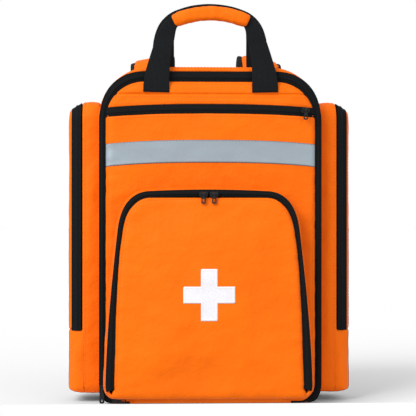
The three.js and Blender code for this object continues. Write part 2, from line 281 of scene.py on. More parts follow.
def ribbed_material(name, low, high, rough, pitch, across="Y", depth=0.5, metallic=0.0, border=None):
    """Tape or webbing: ribs counted along the strip by its UV map, where U and V are in metres.

    A strip with a border is darker further than that from its middle line."""
    values = {"Metallic": metallic, "Specular IOR Level": 0.03, "Roughness": rough}
    material, nodes, shader = new_material(name, values)
    coordinates = nodes.add("ShaderNodeTexCoord")
    strip = coordinates.outputs["UV"]
    ribs = nodes.waves(strip, across, pitch)
    threads = nodes.waves(strip, "DIAGONAL", pitch * 0.8)
    pattern = nodes.total((ribs, 0.7), (threads, 0.3))
    tone = nodes.total((pattern, 0.6), (nodes.noise(coordinates.outputs["Object"], 300), 0.4))
    colour = nodes.mix(tone, low, high)
    if border is not None:
        split = nodes.add("ShaderNodeSeparateXYZ")
        nodes.link(strip, split.inputs[0])
        outside = nodes.math("GREATER_THAN", nodes.math("ABSOLUTE", split.outputs["Y"]), border)
        colour = nodes.mix(outside, colour, tuple(0.55 * c for c in low))
    nodes.link(colour, shader["Base Color"])
    nodes.link(nodes.bump(pattern, 0.3 * mm, depth), shader["Normal"])
    return material


def hard_material(name, colour, rough, specular, grain=0.15):
    """Enamel, moulded plastic or thread, with a fine grain and a lighter colour on sharp convex edges."""
    material, nodes, shader = new_material(name, {"Specular IOR Level": specular})
    speckle = nodes.noise(nodes.add("ShaderNodeTexCoord").outputs["Object"], 900, 3)
    # the colour is made lighter where the surface is sharply convex
    convex_edges = nodes.remap(nodes.add("ShaderNodeNewGeometry").outputs["Pointiness"], source=(0.52, 0.6))
    light = tuple(min(1.0, 1.7 * c + 0.003) for c in colour)
    nodes.link(nodes.mix(nodes.math("MULTIPLY", convex_edges, speckle), colour, light), shader["Base Color"])
    nodes.link(nodes.remap(speckle, target=(rough - 0.08, rough + 0.12)), shader["Roughness"])
    nodes.link(nodes.bump(speckle, 0.1 * mm, grain), shader["Normal"])
    return material


def mesh_material(name, low, high):
    """Open spacer mesh: round holes in a knitted face, painted darker than the knit as painted shade inside
    them.
    """
    material, nodes, shader = new_material(name, {"Roughness": 0.85, "Sheen Weight": 0.15})
    cells = nodes.add("ShaderNodeTexVoronoi")
    cells.inputs["Scale"].default_value = 260
    cells.inputs["Randomness"].default_value = 0.15
    nodes.link(nodes.add("ShaderNodeTexCoord").outputs["Object"], cells.inputs["Vector"])
    knit = nodes.remap(cells.outputs["Distance"], source=(0.25, 0.45))
    # the holes take the dark colour: painted shade inside them
    nodes.link(nodes.mix(knit, low, high), shader["Base Color"])
    nodes.link(nodes.bump(knit, 0.8 * mm, 0.6), shader["Normal"])
    return material


orange = cloth_material(
    "orange_nylon", (0.50, 0.076, 0.0004), (0.72, 0.124, 0.001), 0.6, 1.1 * mm, crumple=0.65,
)
lining = cloth_material(
    "grey_lining", (0.10, 0.105, 0.11), (0.15, 0.155, 0.16), 0.75, 0.9 * mm, crumple=0.8,
)
binding = cloth_material("black_binding", (0.004, 0.0045, 0.005), (0.011, 0.012, 0.013), 0.75, 0.9 * mm)
tape = ribbed_material("zip_tape", (0.003, 0.0035, 0.004), (0.009, 0.0095, 0.0105), 0.85, 1.2 * mm)
coil = hard_material("zip_coil", (0.005, 0.0055, 0.006), 0.65, 0.05)
webbing = ribbed_material(
    "black_webbing", (0.003, 0.0033, 0.0037), (0.012, 0.013, 0.0145), 0.75, 1.6 * mm, depth=0.9,
)
elastic = ribbed_material(
    "black_elastic", (0.012, 0.012, 0.013), (0.035, 0.035, 0.038), 0.8, 2.2 * mm, "X", 0.9,
)
reflective = ribbed_material(
    "reflective_tape", (0.20, 0.24, 0.27), (0.27, 0.31, 0.34), 0.42, 1.5 * mm,
    depth=0.25, metallic=0.25, border=14.3 * mm,
)
white_thread = ribbed_material(
    "white_embroidery", (0.52, 0.51, 0.535), (0.66, 0.65, 0.68), 0.7, 1.2 * mm, "X", 1.0,
)
air_mesh = mesh_material("air_mesh", (0.004, 0.004, 0.005), (0.024, 0.025, 0.027))
enamel = hard_material("black_enamel", (0.006, 0.006, 0.007), 0.3, 0.18)
acetal = hard_material("black_acetal", (0.008, 0.008, 0.009), 0.45, 0.3, grain=0.3)
orange_thread = hard_material("orange_thread", (0.56, 0.082, 0.002), 0.6, 0.2)
black_thread = hard_material("black_thread", (0.012, 0.012, 0.013), 0.6, 0.2)
grey_thread = hard_material("grey_thread", (0.11, 0.13, 0.145), 0.6, 0.2)


# ---- mesh making -----------------------------------------------------------------------------

class Maker:
    """Collects grids of points into one mesh. A grid is rows x columns x 3."""

    def __init__(self):
        self.points = []
        self.uvs = []
        self.faces = []
        self.tones = []

    def add_points(self, grid, uv=None):
        grid = np.asarray(grid, float)
        start = len(self.points)
        self.points.extend(map(tuple, grid.reshape(-1, 3)))
        count = len(self.points) - start
        self.uvs.extend(map(tuple, np.zeros((count, 2)) if uv is None else np.reshape(uv, (-1, 2))))
        return start + np.arange(count).reshape(grid.shape[:-1])

    def skin(self, index, tone=0, around=False, along=False):
        """Faces between the rows of an index grid; around closes each row, along joins last to first."""
        rows, columns = index.shape
        for i in range(rows if along else rows - 1):
            for j in range(columns if around else columns - 1):
                i2, j2 = (i + 1) % rows, (j + 1) % columns
                self.faces.append((index[i, j], index[i, j2], index[i2, j2], index[i2, j]))
                self.tones.append(tone)

    def cap(self, loop, tone=0):
        self.faces.append(tuple(int(i) for i in loop))
        self.tones.append(tone)

    def sheet(self, grid, uv=None, tone=0, around=False, along=False):
        index = self.add_points(grid, uv)
        self.skin(index, tone, around, along)
        return index

    def slab(self, front_grid, rear_grid, uv=None, rear_tone=0):
        """A closed solid between two grids of the same shape."""
        front = self.sheet(front_grid, uv)
        rear = self.sheet(rear_grid, uv, rear_tone)
        for edge in (np.s_[0], np.s_[-1], np.s_[:, 0], np.s_[:, -1]):
            self.skin(np.stack([front[edge], rear[edge]]))

    def sweep(self, sections, tones=None, uv=None):
        """A solid swept through sections, each a closed loop of points; a tone for each side."""
        index = self.add_points(sections, uv)
        count = index.shape[1]
        for j in range(count):
            self.skin(index[:, [j, (j + 1) % count]], 0 if tones is None else tones[j])
        self.cap(index[0][::-1])
        self.cap(index[-1])

    def finish(self, name, body, materials, replaces=None, levels=0):
        """The mesh as a piece of the bag; materials is one material, or one for each tone."""
        mesh = bpy.data.meshes.new(name)
        mesh.from_pydata(self.points, [], [tuple(int(i) for i in f) for f in self.faces])
        layer = mesh.uv_layers.new(name="strip")
        corners = np.empty(len(mesh.loops), dtype=np.int32)
        mesh.loops.foreach_get("vertex_index", corners)
        layer.data.foreach_set("uv", np.array(self.uvs)[corners].astype(np.float32).ravel())
        mesh.polygons.foreach_set("material_index", self.tones)
        shape = bmesh.new()
        shape.from_mesh(mesh)
        bmesh.ops.recalc_face_normals(shape, faces=shape.faces)
        shape.to_mesh(mesh)
        shape.free()
        mesh.polygons.foreach_set("use_smooth", [True] * len(mesh.polygons))
        for material in materials if isinstance(materials, list) else [materials]:
            mesh.materials.append(material)
        piece = bpy.data.objects.new(name, mesh)
        bpy.context.collection.objects.link(piece)
        if levels:
            modifier = piece.modifiers.new("finer", "SUBSURF")
            modifier.levels = modifier.render_levels = levels
        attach(piece, body)
        if replaces:
            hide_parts(replaces)
        return piece


def rounded(left, right, bottom, top, bottom_radius, top_radius, steps=16):
    """A rounded rectangle, counterclockwise from the middle of its foot."""
    points = [((left + right) / 2, bottom)]
    corners = (
        (right - bottom_radius, bottom + bottom_radius, bottom_radius, -90),
        (right - top_radius, top - top_radius, top_radius, 0),
        (left + top_radius, top - top_radius, top_radius, 90),
        (left + bottom_radius, bottom + bottom_radius, bottom_radius, 180),
    )
    for x, z, radius, start in corners:
        for k in range(steps + 1):
            angle = math.radians(start + 90 * k / steps)
            points.append((x + radius * math.cos(angle), z + radius * math.sin(angle)))
    return points


def bezier(a, b, c, d, steps):
    """Points on a curve from a to d, without a."""
    a, b, c, d = (np.array(p, float) for p in (a, b, c, d))
    t = np.linspace(0, 1, steps + 1)[1:, None]
    curve = (1 - t) ** 3 * a + 3 * (1 - t) ** 2 * t * b + 3 * (1 - t) * t * t * c + t ** 3 * d
    return [tuple(p) for p in curve]


class Outline:
    """A closed, counterclockwise outline with evenly spaced points and outward normals."""

    def __init__(self, points, spacing=3 * mm):
        points = np.array(points, float)
        keep = np.linalg.norm(np.diff(points, axis=0, append=points[:1]), axis=1) > 1e-7
        points = points[keep]
        loop = np.vstack([points, points[:1]])
        steps = np.linalg.norm(np.diff(loop, axis=0), axis=1)
        run = np.concatenate([[0], np.cumsum(steps)])
        count = 2 * int(run[-1] / spacing / 2)
        places = np.linspace(0, run[-1], count, endpoint=False)
        self.p = np.stack([np.interp(places, run, loop[:, k]) for k in (0, 1)], axis=1)
        ahead = np.roll(self.p, -2, axis=0) - np.roll(self.p, 2, axis=0)
        ahead /= np.linalg.norm(ahead, axis=1)[:, None]
        self.n = np.stack([ahead[:, 1], -ahead[:, 0]], axis=1)
        self.count = count
        self.middle = (self.p[:, 0].min() + self.p[:, 0].max()) / 2

    def offset(self, distance):
        """The outline moved outward by a distance, which may differ from point to point."""
        return self.p + self.n * np.broadcast_to(np.asarray(distance, float), (self.count,))[:, None]

    def depth(self, x, z):
        """How far points lie inside the outline, in metres."""
        x, z = np.broadcast_arrays(x, z)
        flat = np.stack([x.ravel(), z.ravel()], axis=1)
        nearest = np.full(len(flat), 1e9)
        for a, b in zip(self.p, np.roll(self.p, -1, axis=0)):
            along = b - a
            share = np.clip((flat - a) @ along / (along @ along), 0, 1)
            gap = flat - a - share[:, None] * along
            nearest = np.minimum(nearest, gap[:, 0] ** 2 + gap[:, 1] ** 2)
        return np.sqrt(nearest).reshape(x.shape)

    def panel(self, columns, extra=()):
        """X and Z grids that fill the outline row by row, with extra rows where they are wanted."""
        low, high = self.p[:, 1].min(), self.p[:, 1].max()
        near = 1e-4 * (high - low)
        right = self.p[self.p[:, 0] > self.middle + 1e-9]
        rising = right[(right[:, 1] > low + near) & (right[:, 1] < high - near)]
        foot = right[right[:, 1] <= low + near]
        top = right[right[:, 1] >= high - near]
        edge = np.vstack([foot[np.argmax(foot[:, 0])], rising, top[np.argmax(top[:, 0])]])
        edge = edge[np.argsort(edge[:, 1])]
        levels = np.array(sorted(set(edge[:, 1]) | set(extra)))
        levels = levels[np.concatenate([[True], np.diff(levels) > 0.25 * mm])]
        widths = np.interp(levels, edge[:, 1], edge[:, 0]) - self.middle
        u = np.linspace(-1, 1, columns)
        return self.middle + widths[:, None] * u[None], np.repeat(levels[:, None], columns, axis=1)


def pillow(depth, roll):
    """0 at an edge, rising in a quarter round to 1 at roll metres in."""
    t = np.clip(1 - np.asarray(depth) / roll, 0, 1)
    return np.sqrt(1 - t * t)


def groove(distance, width):
    """1 on a line, falling to 0 a few widths away."""
    return np.exp(-(np.asarray(distance) / width) ** 2)


def stack(x, y, z):
    """Points from coordinates, each an array or one number."""
    return np.stack(np.broadcast_arrays(x, y, z), axis=-1)


def lengths(points):
    """How far along a line each of its points lies."""
    return np.concatenate([[0], np.cumsum(np.linalg.norm(np.diff(points, axis=0), axis=1))])


def unit(vectors):
    return vectors / np.linalg.norm(vectors, axis=1)[:, None]


forward = (0.0, -1.0, 0.0)             # the way the front of the bag faces
sides = ((-1, "left"), (1, "right"))


# ---- stitches --------------------------------------------------------------------------------

def add_stitches(name, body, runs, material, radius=0.32 * mm):
    """Rows of small threads; each run is the points of a seam, and one outward normal or one a point."""
    maker = Maker()
    length, pitch = 3.0 * mm, 4.4 * mm
    turn = [math.radians(72 * k) for k in range(5)]
    for points, normals in runs:
        points = np.asarray(points, float)
        normals = np.broadcast_to(normals, points.shape)
        run = lengths(points)
        for start in np.arange(pitch / 2, run[-1] - length, pitch):
            places = start + length * np.array([0, 0.18, 0.82, 1])
            centre = np.stack([np.interp(places, run, points[:, k]) for k in range(3)], axis=1)
            up = np.array([np.interp(start, run, normals[:, k]) for k in range(3)])
            along = centre[-1] - centre[0]
            along /= np.linalg.norm(along)
            side = np.cross(along, up)
            thick = np.array([0.25, 1, 1, 0.25]) * radius
            lift = np.array([-0.3, 0.55, 0.55, -0.3]) * radius
            loops = [
                [c + up * rise + wide * (math.cos(a) * side + math.sin(a) * up) for a in turn]
                for c, rise, wide in zip(centre, lift, thick)
            ]
            maker.sweep(np.array(loops))
    maker.finish(name, body, material)


# ---- zips ------------------------------------------------------------------------------------

coil_pitch = 2.2 * mm


def resample(points, spacing):
    """Even places along a line, and a function that carries values from its points to them."""
    run = lengths(points)
    places = np.linspace(0, run[-1], max(4, int(run[-1] / spacing)))

    def at(values):
        table = np.broadcast_to(values, (len(run), np.shape(values)[-1]))
        return np.stack([np.interp(places, run, column) for column in table.T], axis=1)

    return places, at


def zip_half(name, body, line, outward, up, width, replaces=None):
    """Half a zip: woven tape from the meeting line outward, with half of the coil on its edge."""
    places, at = resample(line, coil_pitch / 3)
    line, outward, up = at(line), unit(at(outward)), unit(at(up))
    width = at(np.reshape(width, (-1, 1)))[:, 0]
    rib = np.where(np.arange(len(places)) % 3 == 0, 1.0, 0.0)
    # how far across the coil, how high on it, and how deep its ribs are there, in millimetres
    profile = ((0.01, 0.0, 0), (0.02, 0.75, 0.3), (0.6, 1.15, 0.4), (1.25, 0.95, 0.3), (1.6, 0.42, 0))
    rings = []
    for across, height, ribbed in profile:
        lift = (height + ribbed * (rib - 0.5)) * mm
        rings.append(line + outward * across * mm + up * lift[:, None])
    for reach, height in ((-0.9 * mm, 0.4 * mm), (0.0, 0.3 * mm), (0.0, -0.3 * mm)):
        rings.append(line + outward * (width + reach)[:, None] + up * height)
    rings.append(line + outward * 0.3 * mm - up * 0.3 * mm)
    sections = np.stack(rings, axis=1)
    uv = np.zeros((*sections.shape[:2], 2))
    uv[:, :, 0] = places[:, None]
    uv[:, :, 1] = np.array([0, 0.3, 0.9, 1.6, 2, 7, 8, 8, 0])[None] * mm
    maker = Maker()
    maker.sweep(sections, [1] * 4 + [0] * 5, uv)
    maker.finish(name, body, [tape, coil], replaces)


# ---- the lid's outline and relief, which everything sewn to the lid follows --------------------

lid_half_width = 141.1 * mm
lid_top = 432.2 * mm
lid_outline = Outline(rounded(-lid_half_width, lid_half_width, 1 * mm, lid_top, 25 * mm, 52 * mm))
lid_seam = 415 * mm
upper_zip_height = 395.5 * mm
band_height = 338.5 * mm
strip_reach = 140 * mm
zip_droop = 5 * mm                     # how far the upper zip and the band sink at their ends
band_droop = 5.5 * mm


def droop(x, amount):
    """How far a level strip across the front sinks towards its ends."""
    return amount * (np.abs(x) / strip_reach) ** 2.6


def lid_relief(x, z):
    """Height of the lid's outer face before the plane where it meets the shell."""
    depth = lid_outline.depth(x, z)
    # an edge rolled at the seam, and fullness above the band
    relief = 1.8 * mm + 5.4 * mm * pillow(depth, 10 * mm)
    crown = 1 - np.clip(np.abs(x) / (142 * mm), 0, 1) ** 2
    relief += 3.0 * mm * (crown * smooth(z, 0.26, 0.36) * smooth(z, 0.437, 0.40))
    # broad swells, hand-sized creases, and short puckers beside the zip
    relief += 1.5 * mm * ripple(x, 0, z, 85 * mm, 3.1) * smooth(depth, 0, 0.03)
    relief += 0.75 * mm * ripple(x, 0, z * 1.7, 27 * mm, 8.4) * smooth(depth, 0, 0.015)
    near_side = smooth(depth, 0.035, 0.004) * smooth(z, 0.40, 0.36)
    relief += 0.9 * mm * ripple(x * 0.35, 0, z, 11 * mm, 5.2) * near_side
    # the seam across the top, and the shallow channel that the upper zip lies in
    relief -= 2.0 * mm * groove(z - lid_seam, 1.5 * mm)
    relief -= 1.1 * mm * smooth(np.abs(z - upper_zip_height + droop(x, zip_droop)), 8 * mm, 6 * mm)
    # a recess along the foot's ends, where the lower slider of the main zip runs
    slider_way = smooth(z, 16 * mm, 11 * mm) * smooth(np.abs(x), 97 * mm, 104 * mm)
    return relief + (np.minimum(relief, 2.6 * mm) - relief) * slider_way


def on_lid(x, z, lift=0.0):
    """Points on the lid's outer face, lifted off it."""
    return stack(x, rim - lid_relief(x, z) - lift, z)


def ring_width(outline):
    """The band is wider across the top than down the sides, and runs out at the foot."""
    z, rise = outline.p[:, 1], outline.n[:, 1]
    width = 8.0 * mm + 5.3 * mm * smooth(rise, 0.15, 0.98)
    return np.where(z > 0.2, width, 8.0 * mm * smooth(z, 0.0005, 0.010))


def open_run(outline, keep):
    """Indices of the outline points that keep selects, in order, starting after the gap."""
    kept = keep(outline.p)
    start = int(np.argmin(kept))
    order = (np.arange(outline.count) + start) % outline.count
    return order[kept[order]]


# ---- shell -----------------------------------------------------------------------------------

def make_shell():
    base = Outline(rounded(-half_width, half_width, 0, body_top, 24 * mm, 70 * mm), 3 * mm)
    free = smooth(base.p[:, 1], 0.004, 0.05)
    high = smooth(base.n[:, 1], 0.86, 0.995)
    corner = smooth(base.n[:, 1], 0.1, 0.4) * (1 - high)
    depth = back - rim
    wall = 5.2 * mm
    floor = 4.8 * mm
    board_face = 119 * mm              # how far behind the rim the inside of the back lies

    def ring(behind, inset, bulge=0.0, rough=1.0):
        """A loop round the shell at a distance behind the rim; rough scales its creases."""
        swell = math.sin(math.pi * min(max(behind / depth, 0), 1))
        out = -inset + free * (bulge * swell) * (1 - corner) * (1 - 0.85 * high)
        place = base.offset(out)
        crease = ripple(place[:, 0], behind * 1.6, place[:, 1], 34 * mm, 1.7) * 1.0 * mm
        crease += ripple(place[:, 0], behind * 0.7, place[:, 1], 12 * mm, 2.9) * 0.35 * mm
        crease = crease * (1 - 0.6 * high)
        place = base.offset(out + crease * free * rough * swell ** 0.5)
        return stack(place[:, 0], rim + behind, np.maximum(place[:, 1], 0))

    flange = 1.2 * mm + 5.3 * mm * high
    outer = [
        ring(0.5 * mm, flange + 1.5 * mm, rough=0),
        ring(-0.7 * mm, flange, rough=0),
        ring(-1.2 * mm, np.minimum(flange, 2.2 * mm + flange * 0.3), rough=0),
        ring(-0.4 * mm, 0.7 * mm, rough=0),
        ring(1.2 * mm, 0.0, rough=0),
    ]
    seam = 9 * mm
    for behind in (4 * mm, seam - 1.5 * mm):
        outer.append(ring(behind, 0.0, 1.5 * mm))
    outer.append(ring(seam, 1.3 * mm, 1.5 * mm))
    for behind in (seam + 1.5 * mm, *np.linspace(0.014, depth - 0.012, 30)):
        outer.append(ring(behind, 0.0, 3.0 * mm))
    outer.append(ring(depth - 9 * mm, 1.0 * mm, 1.0 * mm))
    outer.append(ring(depth - 3 * mm, 4.5 * mm, rough=0.3))
    outer.append(ring(depth - 0.3 * mm, 10 * mm, rough=0))
    maker = Maker()
    outer_index = maker.sheet(np.array(outer), around=True)

    def close(previous, loop, y, rings, tone):
        """Rings that shrink from a loop to the middle of the back."""
        centre = np.array([0, y, loop[:, 2].mean()])
        for k in range(1, rings):
            index = maker.add_points(centre + (loop - centre) * (1 - k / rings))
            maker.skin(np.stack([previous, index]), tone, around=True)
            previous = index
        middle = maker.add_points(centre[None])[0]
        count = len(previous)
        for j in range(count):
            maker.faces.append((previous[j], previous[(j + 1) % count], middle))
            maker.tones.append(tone)

    close(outer_index[-1], outer[-1], back, 10, 0)
    inner = [ring(behind, wall, rough=0) for behind in (3 * mm, 6 * mm, 40 * mm, 80 * mm, 110 * mm)]
    inner += [ring(118.5 * mm, 6.5 * mm, rough=0), ring(board_face, 12 * mm, rough=0)]
    for loop in inner:
        loop[:, 2] = np.maximum(loop[:, 2], floor)
    inner_index = maker.sheet(np.array(inner), tone=1, around=True)
    maker.skin(np.stack([outer_index[0], inner_index[0]]), 1, around=True)
    close(inner_index[-1], inner[-1], rim + board_face, 8, 1)
    maker.finish("shell_fabric", "shell", [orange, lining], "main_shell")

    run = open_run(base, lambda p: p[:, 1] > 6 * mm)
    normal = stack(base.n[run, 0], 0, base.n[run, 1])
    places = (seam - 3.2 * mm, depth - 13 * mm)
    runs = [(ring(behind, -0.3 * mm, 2.2 * mm)[run], normal) for behind in places]
    add_stitches("shell_seam_stitches", "shell", runs, orange_thread)


def make_main_zip():
    run = open_run(lid_outline, lambda p: ~((np.abs(p[:, 0]) < 108 * mm) & (p[:, 1] < 30 * mm)))
    half = ring_width(lid_outline) * 0.5
    outward = stack(lid_outline.n[:, 0], 0, lid_outline.n[:, 1])[run]
    middle = lid_outline.offset(half)
    line = stack(middle[:, 0], rim - 2.3 * mm, np.maximum(middle[:, 1], 1.5 * mm))[run]
    half = half[run]
    zip_half("main_zip_shell_side", "shell", line, outward, forward, half + 0.6 * mm, "main_zip_tape_rear")
    zip_half("main_zip_lid_side", "lid", line, -outward, forward, half + 1.0 * mm, "main_zip_tape_front")


# ---- lid -------------------------------------------------------------------------------------

def make_lid():
    extra = [lid_seam + k * 0.8 * mm for k in range(-4, 5)]
    extra += [upper_zip_height + k * 1.5 * mm for k in range(-9, 7)]
    x, z = lid_outline.panel(97, extra)
    depth = lid_outline.depth(x, z)
    inside = stack(x, rim - 0.7 * mm - 0.4 * mm * pillow(depth, 6 * mm), z)
    maker = Maker()
    maker.slab(on_lid(x, z), inside, rear_tone=1)
    maker.finish("lid_fabric", "lid", [orange, lining], "lid_panel")

    edge = lid_outline.offset(-3.4 * mm)
    run = open_run(lid_outline, lambda p: p[:, 1] > 12 * mm)
    level = np.linspace(-131 * mm, 131 * mm, 120)
    rows = [upper_zip_height + side - droop(level, zip_droop) for side in (-9.6 * mm, 9.6 * mm)]
    runs = [(on_lid(edge[:, 0], edge[:, 1], 0.1 * mm)[run], forward)]
    runs += [(on_lid(level, height, 0.1 * mm), forward) for height in (lid_seam - 3.5 * mm, *rows)]
    add_stitches("lid_stitches", "lid", runs, orange_thread)


def make_upper_zip():
    reach = strip_reach + 0.6 * mm
    x = np.linspace(-reach, reach, 140)
    line = on_lid(x, upper_zip_height - droop(x, zip_droop), 0.5 * mm)
    width = 6.3 * mm
    zip_half("upper_zip_top_half", "lid", line, (0, 0, 1), forward, width, "upper_zip_tape")
    zip_half("upper_zip_foot_half", "lid", line, (0, 0, -1), forward, width)


def make_reflective_band():
    """Glossy tape with a raised, folded and sewn edge above and below."""
    # half of its section, from an edge to the middle: distance from the middle and thickness, in millimetres
    section = ((15.2, 0.05), (14.9, 0.75), (13.5, 0.8), (12.4, 0.85), (12.0, 0.8), (8, 0.75), (4, 0.75))
    away, thick = np.array(section).T
    v = np.array([*-away, 0, *away[::-1]]) * mm
    lift = np.array([*thick, 0.75, *thick[::-1]]) * mm
    v, u = np.meshgrid(v, np.linspace(-1, 1, 141), indexing="ij")
    x = u * (strip_reach + 0.4 * mm)
    z = band_height + v - droop(x, band_droop)
    maker = Maker()
    maker.slab(on_lid(x, z, lift[:, None]), on_lid(x, z, -0.6 * mm), np.stack([x, v], axis=-1))
    maker.finish("reflective_band_tape", "lid", reflective, "reflective_band")
    level = np.linspace(-strip_reach + 3 * mm, strip_reach - 3 * mm, 140)
    middle = band_height - droop(level, band_droop)
    runs = [(on_lid(level, middle + height, 0.85 * mm), forward) for height in (-13.7 * mm, 13.7 * mm)]
    add_stitches("reflective_band_stitches", "lid", runs, grey_thread, radius=0.2 * mm)


# ---- front pocket ----------------------------------------------------------------------------

def pocket_points():
    """Round shoulders above, sides that flare towards the foot; measured from the pocket's middle."""
    foot, waist, flat = 136 * mm, 120 * mm, 76 * mm
    waist_height, foot_radius = 236 * mm, 18 * mm
    low, high = pocket_foot, pocket_top
    right = [(0, low), (foot - foot_radius, low)]
    right += bezier(right[-1], (foot - 6 * mm, low), (foot, low + 6 * mm), (foot, low + foot_radius), 8)
    waist_point = (waist, waist_height)
    right += bezier(right[-1], (foot - 1.5 * mm, 110 * mm), (waist + 5 * mm, 190 * mm), waist_point, 20)
    shoulder = (waist - 4 * mm, waist_height + 30 * mm)
    right += bezier(right[-1], shoulder, (flat + 26 * mm, high), (flat, high), 16)
    right += [(flat * k / 8, high) for k in range(7, 0, -1)]
    right = [(x, z + 2 * mm * smooth(z, 0.24, 0.27) * (1 - min(x / flat, 1) ** 2)) for x, z in right]
    left = [(-x, z) for x, z in right[::-1][:-1]]
    top = [(0, high + 2 * mm)]
    return [(x + pocket_middle, z) for x, z in right + top + left]


pocket_outline = Outline(pocket_points())


def pocket_zip_width():
    """The zip looks narrow at the waist, where the gusset bulges over it; there is none at the foot."""
    z = pocket_outline.p[:, 1]
    upright = smooth(np.abs(pocket_outline.n[:, 0]), 0.7, 0.95)
    width = 9.0 * mm - 3.2 * mm * upright * groove(z - 205 * mm, 60 * mm)
    width = width + 2.0 * mm * smooth(z, 130 * mm, 60 * mm)
    return width * (1 - 0.94 * smooth(-pocket_outline.n[:, 1], 0.5, 0.95))


flap_outline = Outline(pocket_outline.offset(-pocket_zip_width()))


def pocket_plane(z):
    """Where the gusset's front edge lies: the pocket is deeper at its foot."""
    return gusset_lo[1] + pocket_slope * (np.asarray(z) - pocket_foot)


def flap_relief(x, z):
    """Height of the pocket flap's outer face before the gusset's front edge."""
    depth = flap_outline.depth(x, z)
    # an edge rolled at the seam, and a dome over the middle
    relief = 0.8 * mm + 5.2 * mm * pillow(depth, 11 * mm)
    across = np.clip(np.abs(x - pocket_middle) / (118 * mm), 0, 1)
    relief += 5.5 * mm * (1 - across ** 2) * smooth(depth, 0, 0.07) * smooth(z, 0.0, 0.07)
    # broad swells, hand-sized creases, and short puckers beside the zip
    relief += 1.6 * mm * ripple(x, 0, z, 78 * mm, 6.6) * smooth(depth, 0, 0.03)
    relief += 0.75 * mm * ripple(x, 0, z * 1.4, 26 * mm, 1.2) * smooth(depth, 0, 0.015)
    relief += 0.7 * mm * ripple(x * 0.4, 0, z, 10 * mm, 9.2) * smooth(depth, 0.03, 0.004)
    return relief


def on_flap(x, z, lift=0.0):
    return stack(x, pocket_plane(z) - flap_relief(x, z) - lift, z)


def make_gusset():
    base = pocket_outline
    z = base.p[:, 1]
    foot = np.where(z < pocket_foot + 1 * mm, 1.0, 0.0)
    start = lid_face + 2.5 * mm
    front = pocket_plane(z)

    def ring(share, inset, bulge=0.0, ahead=0.0):
        """A loop round the pocket at a share of the way from the lid to the zip."""
        y = start + (front - start) * share - ahead
        out = -inset + bulge * math.sin(math.pi * min(share, 1)) * (1 - foot)
        place = base.offset(out)
        crease = ripple(place[:, 0] * 0.8, y * 2.2, place[:, 1] * 0.8, 24 * mm, 4.4) * 1.0 * mm
        crease += ripple(place[:, 0], y * 1.2, place[:, 1], 9 * mm, 7.1) * 0.3 * mm
        place = base.offset(out + crease * math.sin(math.pi * min(max(share, 0), 1)) ** 0.6 * (bulge > 0))
        return stack(place[:, 0], y, place[:, 1])

    rings = [ring(0, -1.5 * mm), ring(0.06, -0.3 * mm)]
    rings += [ring(share, 0, 3.2 * mm) for share in np.linspace(0.12, 0.93, 12)]
    rings += [ring(0.985, 0.0), ring(1.0, 0.8 * mm, ahead=0.6 * mm), ring(1.0, 2.2 * mm, ahead=0.7 * mm)]
    rings += [ring(1.0, 3.8 * mm), ring(0.96, 4.2 * mm), ring(0.5, 4.2 * mm), ring(0.0, 4.0 * mm)]
    maker = Maker()
    maker.sheet(np.array(rings), around=True, along=True)
    maker.finish("pocket_side_fabric", "lid", orange, "pocket_gusset", levels=1)
    run = open_run(base, lambda p: p[:, 1] > pocket_foot + 4 * mm)
    edge = ring(0.9, -0.2 * mm, 3.2 * mm)[run]
    normal = stack(base.n[run, 0], 0, base.n[run, 1])
    add_stitches("pocket_side_stitches", "lid", [(edge, normal)], orange_thread)


def make_pocket_zip():
    base = pocket_outline
    run = open_run(base, lambda p: p[:, 1] > pocket_foot + 7 * mm)
    band = pocket_zip_width()
    place = base.offset(-band * 0.51)
    line = stack(place[:, 0], pocket_plane(place[:, 1]) - 1.9 * mm, place[:, 1])
    outward = stack(base.n[:, 0], 0, base.n[:, 1])
    line, outward = line[run], outward[run]
    width = np.maximum(band * 0.48, 1.9 * mm)[run]
    zip_half("pocket_zip_gusset_side", "lid", line, outward, forward, width, "pocket_zip_tape_rear")
    width = width + 0.7 * mm
    zip_half("pocket_zip_flap_side", "front_flap", line, -outward, forward, width, "pocket_zip_tape_front")


def make_flap():
    x, z = flap_outline.panel(91)
    maker = Maker()
    maker.slab(on_flap(x, z), stack(x, pocket_plane(z) - 0.3 * mm, z), rear_tone=1)
    maker.finish("pocket_flap_fabric", "front_flap", [orange, lining], "pocket_flap")
    edge = flap_outline.offset(-3.6 * mm)
    run = open_run(flap_outline, lambda p: p[:, 1] > pocket_foot + 14 * mm)
    seam = on_flap(edge[:, 0], edge[:, 1], 0.1 * mm)[run]
    add_stitches("pocket_flap_stitches", "front_flap", [(seam, forward)], orange_thread)


